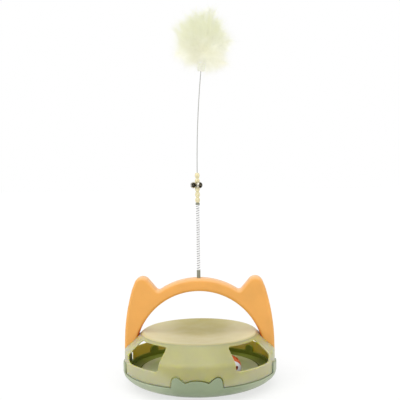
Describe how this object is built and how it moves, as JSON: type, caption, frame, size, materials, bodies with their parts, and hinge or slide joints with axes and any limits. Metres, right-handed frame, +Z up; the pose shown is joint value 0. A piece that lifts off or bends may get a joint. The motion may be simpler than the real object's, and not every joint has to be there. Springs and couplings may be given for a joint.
{
  "type": "cat teaser toy",
  "caption": "Round cat toy: windowed drum with a spinning floor and a loose rattle ball, cat-ear carrying handle, and a feather plume with bells on a coil spring.",
  "frame": {"origin": "on the table under the middle of the round base", "axes": "+Z up along the axis of the base and spring, front with the cat-head tab towards -Y, handle across X"},
  "size_m": [0.242, 0.242, 0.5855],
  "materials": {
    "sage_plastic": "satin moulded",
    "pale_green_plastic": "satin moulded",
    "khaki_plastic": "satin moulded",
    "orange_plastic": "satin moulded",
    "red_orange_gloss": "gloss",
    "white_gloss": "gloss",
    "white_plastic": "satin",
    "ivory_gloss": "gloss",
    "steel": "drawn wire and turned steel",
    "dark_steel": "darkened",
    "bell_metal": "plated",
    "foot_rubber": "matt",
    "feather": "downy"
  },
  "bodies": {
    "base": {"base_bowl": "sage_plastic", "rubber_feet": "foot_rubber", "base_screws": "steel", "track_ring": "sage_plastic", "spindle_pin": "steel", "thrust_washer": "white_plastic", "spindle_cap": "pale_green_plastic", "cover_shell": "khaki_plastic", "top_dish": "khaki_plastic", "handle_front": "orange_plastic", "handle_rear": "orange_plastic", "handle_screws": "steel", "swivel_bush": "white_plastic"},
    "turntable": {"turntable": "pale_green_plastic"},
    "rattle": {"ball_rattle": "steel"},
    "ball": {"ball_orange_half": "red_orange_gloss", "ball_white_half": "white_gloss"},
    "swivel": {"spring_ferrule": "dark_steel", "retaining_clip": "steel", "spring": "steel"},
    "wand": {"spring_cap": "steel", "teaser_wire": "steel", "bead_bottom": "ivory_gloss", "bead_lower": "ivory_gloss", "bead_middle": "ivory_gloss", "bead_upper": "ivory_gloss", "bead_top": "ivory_gloss", "plume_cap": "ivory_gloss", "feather_plume": "feather"},
    "left_bell": {"bell_left": "bell_metal", "bell_left_pellet": "steel"},
    "right_bell": {"bell_right": "bell_metal", "bell_right_pellet": "steel"}
  },
  "joints": [
    {"name": "turntable_spin", "type": "hinge", "parent": "base", "child": "turntable", "pos_m": [0, 0, 0.0206], "axis": [0, 0, 1], "continuous": true},
    {"name": "ball_round", "type": "hinge", "parent": "base", "child": "rattle", "pos_m": [0, 0, 0.0423], "axis": [0, 0, 1], "continuous": true},
    {"name": "ball_roll", "type": "hinge", "parent": "rattle", "child": "ball", "pos_m": [0.04585, -0.06798, 0.0423], "axis": [0.5592, -0.829, 0], "continuous": true},
    {"name": "teaser_swivel", "type": "hinge", "parent": "base", "child": "swivel", "pos_m": [0, 0, 0.16], "axis": [0, 0, 1], "continuous": true},
    {"name": "spring_bend", "type": "hinge", "parent": "swivel", "child": "wand", "pos_m": [0, 0, 0.23083], "axis": [0, 1, 0], "range_deg": [-60, 60], "stiffness_Nm_per_rad": 1.2, "deforming": ["spring"]},
    {"name": "bell_left_swing", "type": "hinge", "parent": "wand", "child": "left_bell", "pos_m": [0, 0, 0.3134], "axis": [0, 0, 1], "range_deg": [-90, 0]},
    {"name": "bell_right_swing", "type": "hinge", "parent": "wand", "child": "right_bell", "pos_m": [0, 0, 0.3134], "axis": [0, 0, 1], "range_deg": [0, 60]}
  ],
  "couplings": [
    {"joint": "ball_roll", "follows": "ball_round", "ratio": -4.3158}
  ]
}
